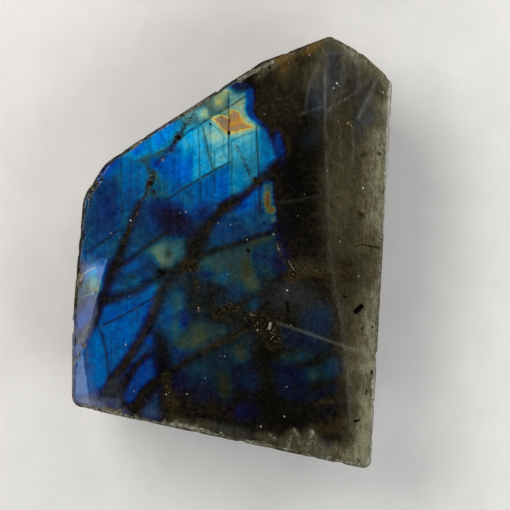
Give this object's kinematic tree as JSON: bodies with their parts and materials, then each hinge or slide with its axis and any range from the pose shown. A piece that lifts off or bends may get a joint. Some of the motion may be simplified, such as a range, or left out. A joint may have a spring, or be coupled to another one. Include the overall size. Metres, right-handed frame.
{
  "type": "labradorite chunk",
  "caption": "Broken chunk of labradorite lying on its rough back, with one face ground flat and polished to show its colour flash.",
  "frame": {"origin": "middle of the stone's outline, on the surface that its back rests on", "axes": "+Z out of the polished face, +Y along the stone's length towards its pointed crown"},
  "size_m": [0.071, 0.0956, 0.0245],
  "materials": {
    "labradorite": "one polished face with blue flash, rough broken sides and back"
  },
  "bodies": {
    "root": {"labradorite_chunk": "labradorite"}
  },
  "joints": []
}
